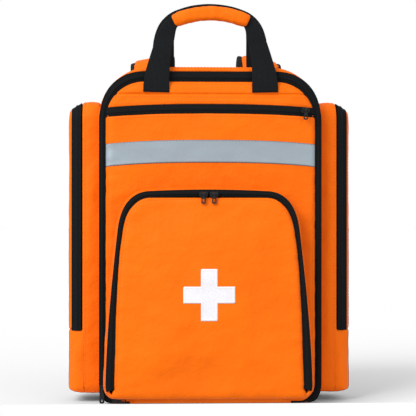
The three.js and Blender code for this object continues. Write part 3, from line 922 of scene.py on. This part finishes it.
def make_emblem():
    """A plain upright cross with a raised satin edge."""
    lo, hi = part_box("emblem_patch")
    centre_x, centre_z = (lo[0] + hi[0]) / 2, (lo[2] + hi[2]) / 2
    half, arm, cell = 34 * mm, 11 * mm, 1 * mm
    count = int(round(2 * half / cell))
    places = (np.arange(count + 1) - count / 2) * cell
    x, z = np.meshgrid(places, places)
    level_arm = np.minimum(half - np.abs(x), arm - np.abs(z))
    upright_arm = np.minimum(arm - np.abs(x), half - np.abs(z))
    depth = np.maximum(level_arm, upright_arm)
    lift = 0.35 * mm + 0.75 * mm * pillow(np.clip(depth, 0, 1), 1.2 * mm)
    lift -= 0.35 * mm * smooth(depth, 2.2 * mm, 3.0 * mm)
    top = on_flap(x + centre_x, z + centre_z, lift)
    foot = on_flap(x + centre_x, z + centre_z, -0.5 * mm)
    maker = Maker()
    uv = np.stack([x, z], axis=-1)
    upper, lower = maker.add_points(top, uv), maker.add_points(foot, uv)
    cross = (depth[:-1, :-1] + depth[1:, 1:]) / 2 > 0.2 * cell
    for i in range(count):
        for j in range(count):
            if not cross[i, j]:
                continue
            corners = ((i, j), (i, j + 1), (i + 1, j + 1), (i + 1, j))
            maker.cap([upper[c] for c in corners])
            maker.cap([lower[c] for c in corners[::-1]])
            sides = ((i - 1, j, 0, 1), (i, j + 1, 1, 2), (i + 1, j, 2, 3), (i, j - 1, 3, 0))
            for ni, nj, a, b in sides:
                if not (0 <= ni < count and 0 <= nj < count and cross[ni, nj]):
                    maker.cap([upper[corners[a]], lower[corners[a]], lower[corners[b]], upper[corners[b]]])
    piece = maker.finish("cross_patch", "front_flap", white_thread, "emblem_patch")
    clean = bmesh.new()
    clean.from_mesh(piece.data)
    bmesh.ops.delete(clean, geom=[v for v in clean.verts if not v.link_faces], context="VERTS")
    clean.to_mesh(piece.data)
    clean.free()


# ---- side pockets ----------------------------------------------------------------------------

side_outline = Outline(rounded(tray_lo[1], tray_hi[1], tray_lo[2], tray_hi[2], 12 * mm, 26 * mm))
side_flap_outline = Outline(rounded(
    side_flap_lo[1], side_flap_hi[1], side_flap_lo[2], side_flap_hi[2], 2.5 * mm, 18 * mm,
))
side_mouth = 172 * mm                  # where the gusset ends and the slanting zip starts
side_hinge = side_flap_lo[2]


def side_relief(y, z):
    """Distance from the bag's middle of a side pocket's slanting rim and outer face."""
    y, z = np.broadcast_arrays(y, z)
    depth = side_outline.depth(y, z)
    from_side = np.minimum(y - side_outline.p[:, 0].min(), side_outline.p[:, 0].max() - y)
    # below the hinge the face rolls in from its sides, and more steeply at its foot
    depth = np.where(z < side_hinge, np.clip(np.minimum(from_side, 2.6 * depth), 0, 1), depth)
    even = np.clip(depth / (9 * mm), 0, 1)
    full = smooth(z, side_hinge - 2 * mm, side_hinge - 40 * mm)
    slant = side_mouth + 15 * mm * (even * (1 - full) + pillow(depth, 10 * mm) * full)
    dome = 5 * mm * pillow(np.maximum(depth - 8 * mm, 0), 20 * mm) * (depth > 8 * mm)
    crease = 0.7 * mm * ripple(y, 4.0, z, 60 * mm, 2.6) + 0.35 * mm * ripple(y, 4.0, z * 1.5, 20 * mm, 5.8)
    return slant + dome + crease * smooth(depth, 9 * mm, 20 * mm)


def side_ring(side, x, inset, bulge=0.0):
    """A loop round a side pocket at a distance x from the bag's middle."""
    base = side_outline
    swell = math.sin(math.pi * np.clip((x - half_width) / (side_mouth - half_width), 0, 1))
    out = -inset + bulge * swell * smooth(base.p[:, 1], 14 * mm, 40 * mm)
    place = base.offset(out)
    crease = ripple(side * x * 1.5, place[:, 0], place[:, 1], 30 * mm, 3.3) * 0.8 * mm * swell
    crease += ripple(side * x, place[:, 0], place[:, 1], 11 * mm, 6.1) * 0.3 * mm * swell
    place = base.offset(out + crease * (bulge > 0))
    return stack(side * x, place[:, 0], place[:, 1])


def make_side_tray(side, word):
    """The fabric round the pocket: up its sides, over its rim and back down inside."""
    outer = [(half_width - 1 * mm, 1 * mm)]
    outer += [(x, 0.0, 1.2 * mm) for x in np.linspace(half_width + 0.5 * mm, side_mouth - 1.5 * mm, 9)]
    outer += [(side_mouth, 0.4 * mm), (side_mouth + 0.7 * mm, 1.4 * mm), (side_mouth + 0.3 * mm, 2.4 * mm)]
    inner = [(side_mouth - 2 * mm, 3.0 * mm), (half_width + 12 * mm, 3.0 * mm), (half_width, 3.0 * mm)]
    maker = Maker()
    index = maker.add_points([side_ring(side, *ring) for ring in outer + inner])
    lip = len(outer)
    maker.skin(index[:lip + 1], 0, around=True)
    maker.skin(index[lip:], 1, around=True)
    maker.skin(np.stack([index[-1], index[0]]), 1, around=True)
    pair = [orange, lining]
    maker.finish(f"{word}_pocket_fabric", "shell", pair, f"{word}_pocket_tray")


def make_side_toe(side, word):
    """The closed face below the flap's hinge."""
    rows = [*np.linspace(tray_lo[2] + 0.2 * mm, 0.03, 12), *np.linspace(0.033, side_hinge - 0.4 * mm, 22)]
    edge = side_outline.p[side_outline.p[:, 0] > side_outline.middle]
    edge = edge[np.argsort(edge[:, 1])]
    edge = edge[edge[:, 1] < 0.3]
    reach = np.interp(rows, edge[:, 1], edge[:, 0]) - side_outline.middle
    u = np.sin(np.linspace(-1, 1, 41) * math.pi / 2)
    y = side_outline.middle + reach[:, None] * u[None]
    z = np.repeat(np.reshape(rows, (-1, 1)), 41, axis=1)
    outer = side_relief(y, z) - 1.2 * mm * groove(z - side_hinge, 1.5 * mm)
    inner = np.maximum(np.minimum(outer - 2.2 * mm, side_mouth + 12 * mm), side_mouth - 4 * mm)
    maker = Maker()
    maker.slab(stack(side * outer, y, z), stack(side * inner, y, z))
    maker.finish(f"{word}_pocket_toe", "shell", orange, f"{word}_pocket_tray")


def make_side_flap(side, word):
    y, z = side_flap_outline.panel(45)
    outer = side_relief(y, z)
    inner = np.minimum(outer - 2.0 * mm, side_mouth + 13.5 * mm)
    outer = outer - 1.2 * mm * (1 - pillow(side_flap_outline.depth(y, z), 3 * mm))
    maker = Maker()
    maker.slab(stack(side * outer, y, z), stack(side * inner, y, z), rear_tone=1)
    pair = [orange, lining]
    maker.finish(f"{word}_flap_fabric", f"{word}_flap", pair, f"{word}_flap_panel")


def make_side_zip(side, word):
    """The zip lies round the slanting rim, leaning outward."""
    run = open_run(side_outline, lambda p: p[:, 1] > side_hinge - 1.5 * mm)
    lean = math.radians(31)
    middle = side_outline.offset(-4.6 * mm)[run]
    normal = side_outline.n[run]
    line = stack(side * (side_mouth + 8.6 * mm), middle[:, 0], middle[:, 1])
    across, rise = normal * math.sin(lean), normal * math.cos(lean)
    outward = stack(-side * math.cos(lean), across[:, 0], across[:, 1])
    up = stack(side * math.sin(lean), rise[:, 0], rise[:, 1])
    width = 7.6 * mm
    zip_half(f"{word}_zip_tray_side", "shell", line, outward, up, width, f"{word}_zip_tape_rear")
    width += 0.6 * mm
    zip_half(f"{word}_zip_flap_side", f"{word}_flap", line, -outward, up, width, f"{word}_zip_tape_front")


def stitch_side_pocket(side, word):
    run = open_run(side_outline, lambda p: p[:, 1] > tray_lo[2] + 8 * mm)
    seam = side_ring(side, side_mouth - 2.4 * mm, -0.15 * mm, 1.2 * mm)[run]
    normal = stack(0, side_outline.n[run, 0], side_outline.n[run, 1])
    add_stitches(f"{word}_pocket_stitches", "shell", [(seam, normal)], orange_thread)
    y, z = side_flap_outline.offset(-3.2 * mm).T
    run = open_run(side_flap_outline, lambda p: p[:, 1] > side_hinge + 4 * mm)
    seam = stack(side * (side_relief(y, z) + 0.05 * mm), y, z)[run]
    runs = [(seam, (side, 0.0, 0.0))]
    add_stitches(f"{word}_flap_stitches", f"{word}_flap", runs, orange_thread)


def make_side_pockets():
    for side, word in sides:
        for make in (make_side_tray, make_side_toe, make_side_flap, make_side_zip, stitch_side_pocket):
            make(side, word)


# ---- handles ---------------------------------------------------------------------------------

def spline(points, spacing):
    """A smooth line through points; every column of the table is carried along."""
    table = np.array(points, float)
    run = lengths(table[:, :3])
    places = np.linspace(0, run[-1], max(8, int(run[-1] / spacing)))
    padded = np.vstack([2 * table[0] - table[1], table, 2 * table[-1] - table[-2]])
    out = []
    for place in places:
        k = min(int(np.searchsorted(run, place, side="right")) - 1, len(run) - 2)
        t = (place - run[k]) / (run[k + 1] - run[k])
        a, b, c, d = padded[k:k + 4]
        square, cube = 2 * a - 5 * b + 4 * c - d, 3 * b - a - 3 * c + d
        out.append(0.5 * (2 * b + (c - a) * t + square * t * t + cube * t ** 3))
    return places, np.array(out)


def ribbon_sections(line, across, width, thick, corner):
    """Rounded flat sections square to a line; across is the width direction."""
    along = unit(np.gradient(line, axis=0))
    across = unit(across - np.sum(across * along, axis=1)[:, None] * along)
    face = np.cross(across, along)
    turn = np.linspace(0, math.pi / 2, 5)
    quarters = ((1, 1, turn), (-1, 1, turn[::-1]), (-1, -1, turn), (1, -1, turn[::-1]))
    corners = [(u, math.cos(a), v, math.sin(a)) for u, v, angles in quarters for a in angles]
    sections = []
    for k, (wide, deep) in enumerate(zip(*np.broadcast_arrays(width, thick, line[:, 0])[:2])):
        w, t = wide / 2, deep / 2
        r = min(w, t) * corner * 2
        sections.append([
            line[k] + across[k] * (su * (w - r + r * cu)) + face[k] * (sv * (t - r + r * cv))
            for su, cu, sv, cv in corners
        ])
    return np.array(sections)


def strap_uv(sections, places):
    count = sections.shape[1]
    across = np.linalg.norm(sections - sections[:, :1], axis=2)
    return np.stack([np.repeat(places[:, None], count, axis=1), across], axis=-1)


def make_ribbon(name, body, sections, places, material=webbing, replaces=None):
    maker = Maker()
    maker.sweep(sections, None, strap_uv(sections, places))
    maker.finish(name, body, material, replaces)


def make_loop(name, body, points, replaces, waves):
    """Webbing that stands on two flat feet and folds narrow and thick towards the middle.

    Each point is x, y, z, width, thickness, from the middle to the right foot."""
    both = [(-p[0], *p[1:]) for p in points[::-1]][:-1] + points
    places, table = spline(both, 3 * mm)
    line = table[:, :3]
    along = np.gradient(line, axis=0)
    across = stack(along[:, 2], 0, -along[:, 0])
    sections = ribbon_sections(line, across, table[:, 3], table[:, 4], 0.3)
    for section, fold in zip(sections, smooth(line[:, 2], 440 * mm, 500 * mm)):
        section[:, 1] += ripple(*section.T, 15 * mm, 4.0) * (0.4 * mm + waves * fold)
    make_ribbon(name, body, sections, places, replaces=replaces)


def make_front_loop():
    lo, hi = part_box("front_handle_webbing")
    middle = (lo[1] + hi[1]) / 2
    route = [                              # x, z, width and thickness in millimetres
        (0, 523.0, 14, 9), (25, 520.6, 14, 9), (43, 515.0, 14, 9), (51, 510.0, 16.5, 8.5),
        (56.5, 502.0, 20.5, 7.5), (60.8, 489.0, 24, 6.2), (65, 474.0, 26, 5), (68.6, 459.0, 28.5, 3.8),
        (71.2, 444.0, 32, 3), (72.6, 430.0, 34.5, 2.6),
    ]
    points = [(x * mm, middle, z * mm, width * mm, thick * mm) for x, z, width, thick in route]
    points.append((73 * mm, middle + 0.9 * mm, lo[2], 35 * mm, 2.4 * mm))
    make_loop("front_handle_loop", "front_handle", points, "front_handle_webbing", 2.2 * mm)


def make_rear_loop():
    """Its folded part stays in front of the flat part, so that the loop can lie on the bag's top."""
    lo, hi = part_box("rear_handle_webbing")
    front = hi[1] - 1.3 * mm
    route = [                              # x, z, width and thickness in millimetres
        (0, 532.2, 12.5, 6), (22, 530.2, 12.5, 6), (40, 524.5, 14, 6), (51, 517.0, 18, 5.5),
        (59, 505.0, 23, 4.5), (62.5, 489.0, 27.5, 3.4), (63.5, 470.0, 29.5, 2.8),
    ]
    points = [
        (x * mm, front - thick * mm / 2, z * mm, width * mm, thick * mm) for x, z, width, thick in route
    ]
    points.append((64 * mm, front - 2.5 * mm / 2, lo[2] + 0.2 * mm, 30 * mm, 2.5 * mm))
    make_loop("rear_handle_loop", "rear_handle", points, "rear_handle_webbing", 0.7 * mm)


def squared(up, deep):
    """How much further a rounded square reaches than a circle in a direction."""
    power = 3.2
    return 1.0 / (abs(up) ** power + abs(deep) ** power) ** (1 / power)


def make_grip():
    """The padded sleeve wrapped round the front handle, which bends with it."""
    lo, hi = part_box("handle_grip")
    radius, centre_z = 119 * mm, 404 * mm  # of the arc that the sleeve follows
    middle = (lo[1] + hi[1]) / 2
    half = math.asin(50.3 * mm / radius)

    def frame_at(angle):
        outward = np.array([math.sin(angle), 0, math.cos(angle)])
        return np.array([radius * math.sin(angle), middle, centre_z + radius * math.cos(angle)]), outward

    sections = []
    for angle in np.linspace(-half, half, 60):
        centre, outward = frame_at(angle)
        share = abs(angle) / half
        taper = 1 - 0.10 * smooth(share, 0.80, 1.0) - 0.25 * smooth(share, 0.975, 1.0)
        pinch = 1 - 0.05 * math.exp(-((share - 0.93) / 0.02) ** 2)
        loop = []
        for k in range(32):
            a = 2 * math.pi * k / 32
            up, deep = math.sin(a), math.cos(a)
            crease = 0.6 * mm * float(ripple(angle * radius * 2, deep * 0.02, up * 0.02, 13 * mm, 7.7))
            size_up = (9.2 * mm + crease) * taper * pinch * squared(up, deep)
            size_deep = (9.9 * mm + crease) * taper * pinch * squared(up, deep)
            if up < -0.93:
                size_up -= 0.8 * mm
            loop.append(centre + outward * up * size_up + np.array([0, deep * size_deep, 0]))
        sections.append(loop)
    maker = Maker()
    maker.sweep(sections)
    maker.finish("grip_sleeve", "front_handle", orange, "handle_grip")
    runs = []
    for side, _ in sides:
        centre, outward = frame_at(side * half * 0.93)
        seam = []
        for degrees in np.linspace(-50, 230, 24):
            up, deep = math.sin(math.radians(degrees)), math.cos(math.radians(degrees))
            reach = outward * up * 9.0 * mm + np.array([0, deep * 9.7 * mm, 0])
            seam.append(centre + reach * squared(up, deep) * 0.97)
        runs.append((seam, unit(np.array(seam) - centre)))
    add_stitches("grip_stitches", "front_handle", runs, orange_thread)


# ---- harness and back ------------------------------------------------------------------------

def make_pad(name, node, radius, channel_count=0):
    """A quilted pad on the back: a bound edge, then foam with sewn channels."""
    lo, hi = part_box(node)
    outline = Outline(rounded(lo[0], hi[0], lo[2], hi[2], radius, radius))
    shares = [k / (channel_count + 1) for k in range(1, channel_count + 1)]
    channels = [lo[2] + (hi[2] - lo[2]) * share for share in shares]
    hem, hem_height = 4.5 * mm, 2.6 * mm
    x, z = outline.panel(61, extra=[c + k * mm for c in channels for k in (-2, 0, 2)])
    depth = outline.depth(x, z)
    height = hi[1] - lo[1] + 1.5 * mm
    rise = hem_height + (height - hem_height) * pillow(np.maximum(depth - hem, 0), 15 * mm) * (depth > hem)
    for channel in channels:
        rise -= 5.0 * mm * groove(z - channel, 4.5 * mm) * smooth(depth, 5 * mm, 14 * mm)
    rise += 0.5 * mm * ripple(x, 1.0, z, 24 * mm, 5.0) * smooth(depth, 5 * mm, 14 * mm)
    maker = Maker()
    maker.slab(stack(x, lo[1] + rise, z), stack(x, lo[1], z), np.stack([x, z], axis=-1))
    middles = np.array(maker.points)[np.array(maker.faces)].mean(axis=1)
    near_edge = outline.depth(middles[:, 0], middles[:, 2]) < hem + 0.1 * mm
    maker.tones = [int(t) for t in near_edge]
    maker.finish(name, "shell", [air_mesh, binding], node)
    ring = outline.offset(-3.6 * mm)
    seam = stack(ring[:, 0], lo[1] + 2.7 * mm, ring[:, 1])
    runs = [(np.vstack([seam, seam[:1]]), (0.0, 1.0, 0.0))]
    add_stitches(f"{name}_stitches", "shell", runs, black_thread, radius=0.22 * mm)


def plain_slab(name, body, material, node, wave, upright=True, top=8 * mm):
    """A thin flat piece the size of its frame node, with rolled edges and a slight wave."""
    lo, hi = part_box(node)
    rise, through = (2, 1) if upright else (1, 2)
    tall = hi[rise] - lo[rise]
    corner = min(8 * mm, 0.2 * tall)
    top = max(corner, min(top, 0.2 * tall))
    outline = Outline(rounded(lo[0], hi[0], lo[rise], hi[rise], corner, top))
    a, b = outline.panel(61)
    depth = outline.depth(a, b)
    half = (hi[through] - lo[through]) / 2
    middle = (lo[through] + hi[through]) / 2
    middle = middle + wave * ripple(a, 0.0, b, 60 * mm, 1.5) * smooth(depth, 0, 10 * mm)
    puff = half * (0.35 + 0.65 * pillow(depth, 1.2 * mm))

    def face(level):
        return stack(a, level, b) if upright else stack(a, b, level)

    maker = Maker()
    maker.slab(face(middle - puff), face(middle + puff), np.stack([a, b - b.mean()], axis=-1))
    return maker.finish(name, body, material, node)


def make_yoke():
    lo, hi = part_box("strap_yoke")
    outline = Outline(rounded(lo[0], hi[0], lo[2], hi[2], 3 * mm, 3 * mm), 2 * mm)
    x, z = outline.panel(81)
    depth = outline.depth(x, z)
    rise = 0.8 * mm + 2.0 * mm * pillow(depth, 2 * mm) + 0.4 * mm * ripple(x, 0, z, 14 * mm, 2.2)
    maker = Maker()
    maker.slab(stack(x, lo[1] + rise, z), stack(x, lo[1], z), np.stack([x, z], axis=-1))
    maker.finish("yoke_band", "shell", webbing, "strap_yoke")


def strap_point(side, y, z):
    """A strap leans outward on its way down, and narrows below 230 mm."""
    centre = side * (66 + 0.11 * max(0, 440 - z) + 11 * float(smooth(z, 300, 440))) * mm
    width = 64 if z > 230 else 64 - 0.35 * (230 - z)
    return (centre, rim + y * mm, z * mm, width * mm, 11 * mm)


def make_shoulder_strap(side, word):
    """Padding that hangs in an arch behind the back, with bound edges and webbing down its middle."""
    route = [                              # distance behind the rim and height in millimetres
        (136, 430), (141, 463), (163, 476), (184, 452), (193, 380),
        (192, 330), (191, 280), (187, 235), (181, 196), (176, 173),
    ]
    places, table = spline([strap_point(side, y, z) for y, z in route], 5 * mm)
    line, width, thick = table[:, :3], table[:, 3], table[:, 4]
    across = stack(side, 0, -0.20 * smooth(line[:, 2], 0.40, 0.47))
    sections = ribbon_sections(line, across, width - 8 * mm, thick, 0.75)
    wrinkle = smooth(places, 0.02, 0.05) * smooth(places, 0.16, 0.12)
    for section, folded in zip(sections, wrinkle):
        shift = ripple(section[:, 0] * 0.4, section[:, 1] * 1.5, section[:, 2] * 1.5, 14 * mm, 3.0)
        section += (section - section.mean(axis=0)) * (shift * (0.05 + 0.12 * folded))[:, None]
    halfway = sections[len(line) // 2]
    away = (halfway + np.roll(halfway, -1, axis=0)) / 2 - halfway.mean(axis=0)
    maker = Maker()
    maker.sweep(sections, [0 if y > 0 else 1 for y in away[:, 1]], strap_uv(sections, places))
    pair = [orange, air_mesh]
    maker.finish(f"{word}_strap_padding", "shell", pair, f"{word}_shoulder_strap")
    for way, edge in ((-1, "inner"), (1, "outer")):
        edge_line = line + across * way * (width[:, None] / 2 - 4.5 * mm)
        sections = ribbon_sections(edge_line, across, 9 * mm, 6.5 * mm, 0.5)
        make_ribbon(f"{word}_strap_binding_{edge}", "shell", sections, places, binding)
    face = np.cross((side, 0, 0), unit(np.gradient(line, axis=0)))
    outer_line = line + face * (5.9 * mm) * np.sign(face[:, 1].mean())
    keep = slice(int(len(line) * 0.30), None)
    sections = ribbon_sections(outer_line[keep], across[keep], 25 * mm, 1.6 * mm, 0.3)
    make_ribbon(f"{word}_strap_centre_webbing", "shell", sections, places[keep])


def make_lower_strap(side, word):
    """Plain webbing from the ladder lock down to the foot of the back."""
    node = f"{word}_lower_webbing"
    lo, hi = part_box(node)
    lock_lo, lock_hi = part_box(f"{word}_ladder_lock")
    width = 25 * mm
    top_x = (lock_lo[0] + lock_hi[0]) / 2
    foot_x = side * (max(abs(lo[0]), abs(hi[0])) - width / 2)
    # distance behind the rim and height in millimetres
    route = [(175, 149.5), (172, 138), (162, 110), (152, 86), (143, 66), (137.5, 52), (132, 44)]
    top, foot = route[0][1], route[-1][1]
    points = []
    for y, z in route:
        x = top_x + (foot_x - top_x) * ((top - z) / (top - foot))
        points.append((x, rim + y * mm, z * mm))
    places, line = spline(points, 3 * mm)
    sections = ribbon_sections(line, (1.0, 0, 0), width, 1.8 * mm, 0.3)
    make_ribbon(f"{word}_lower_strap", "shell", sections, places, replaces=node)


def make_anchor(side, word):
    """A patch with one corner cut off, sewn over the end of the lower webbing."""
    lo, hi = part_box(f"{word}_anchor_tab")
    near, far = (lo[0], hi[0]) if side > 0 else (hi[0], lo[0])
    foot, top, cut = lo[2], hi[2], 8 * mm
    corners = [(far, foot), (far, foot + cut), (near + side * cut, top), (near, top), (near, foot)]
    outline = Outline([((lo[0] + hi[0]) / 2, foot)] + corners[::side], 2 * mm)
    centre = outline.p.mean(axis=0)
    from_centre = np.maximum(np.linalg.norm(outline.p - centre, axis=1), 1e-4)
    rings = []
    for inset, height in ((0, 0), (0, 1.2), (0.6, 2.0), (1.8, 2.4), (6, 2.6), (11, 2.6)):
        shrink = np.clip(inset * mm / from_centre, 0, 0.95)
        place = outline.p + (centre - outline.p) * shrink[:, None]
        rings.append(stack(place[:, 0], lo[1] + height * mm, place[:, 1]))
    maker = Maker()
    index = maker.sheet(rings, around=True)
    maker.cap(index[-1])
    maker.cap(index[0][::-1])
    maker.finish(f"{word}_anchor_patch", "shell", binding, f"{word}_anchor_tab")


def make_harness():
    for side, word in sides:
        make_pad(f"{word}_back_cushion", f"back_pad_{word}", 20 * mm, channel_count=2)
    make_pad("lumbar_cushion", "lumbar_pad", 22 * mm)
    make_yoke()
    for side, word in sides:
        make_shoulder_strap(side, word)
        make_lower_strap(side, word)
        make_anchor(side, word)


def make_inside():
    plain_slab("back_panel_foam", "shell", lining, "back_board", 0.4 * mm, top=72 * mm)
    plain_slab("base_panel_foam", "shell", lining, "base_board", 0.4 * mm, upright=False)
    for level in ("lower", "upper"):
        node = f"inner_band_{level}"
        plain_slab(f"elastic_band_{level}", "shell", elastic, node, 0.3 * mm)
    node = "slip_pocket_liner"
    piece = plain_slab("slip_pocket_lining", "lid", lining, node, 0.2 * mm)


# ---- hard parts kept from the frame ----------------------------------------------------------

def finish_hard_parts():
    """Sliders, pulls and ladder locks keep their CAD shape, with softened edges."""
    for node in bpy.data.objects:
        if node.type != "MESH" or node.hide_render:
            continue
        lock = "ladder_lock" in node.name
        if not (lock or "slider" in node.name or "_pull" in node.name):
            continue
        node.data.materials.clear()
        node.data.materials.append(acetal if lock else enamel)
        soften = node.modifiers.new("soft_edges", "BEVEL")
        soften.width = 0.45 * mm if lock else 0.3 * mm
        soften.segments = 2
        soften.limit_method = "ANGLE"
        soften.angle_limit = math.radians(35)


make_shell()
make_main_zip()
make_lid()
make_upper_zip()
make_reflective_band()
make_gusset()
make_pocket_zip()
make_flap()
make_emblem()
make_side_pockets()
make_front_loop()
make_grip()
make_rear_loop()
make_harness()
make_inside()
finish_hard_parts()
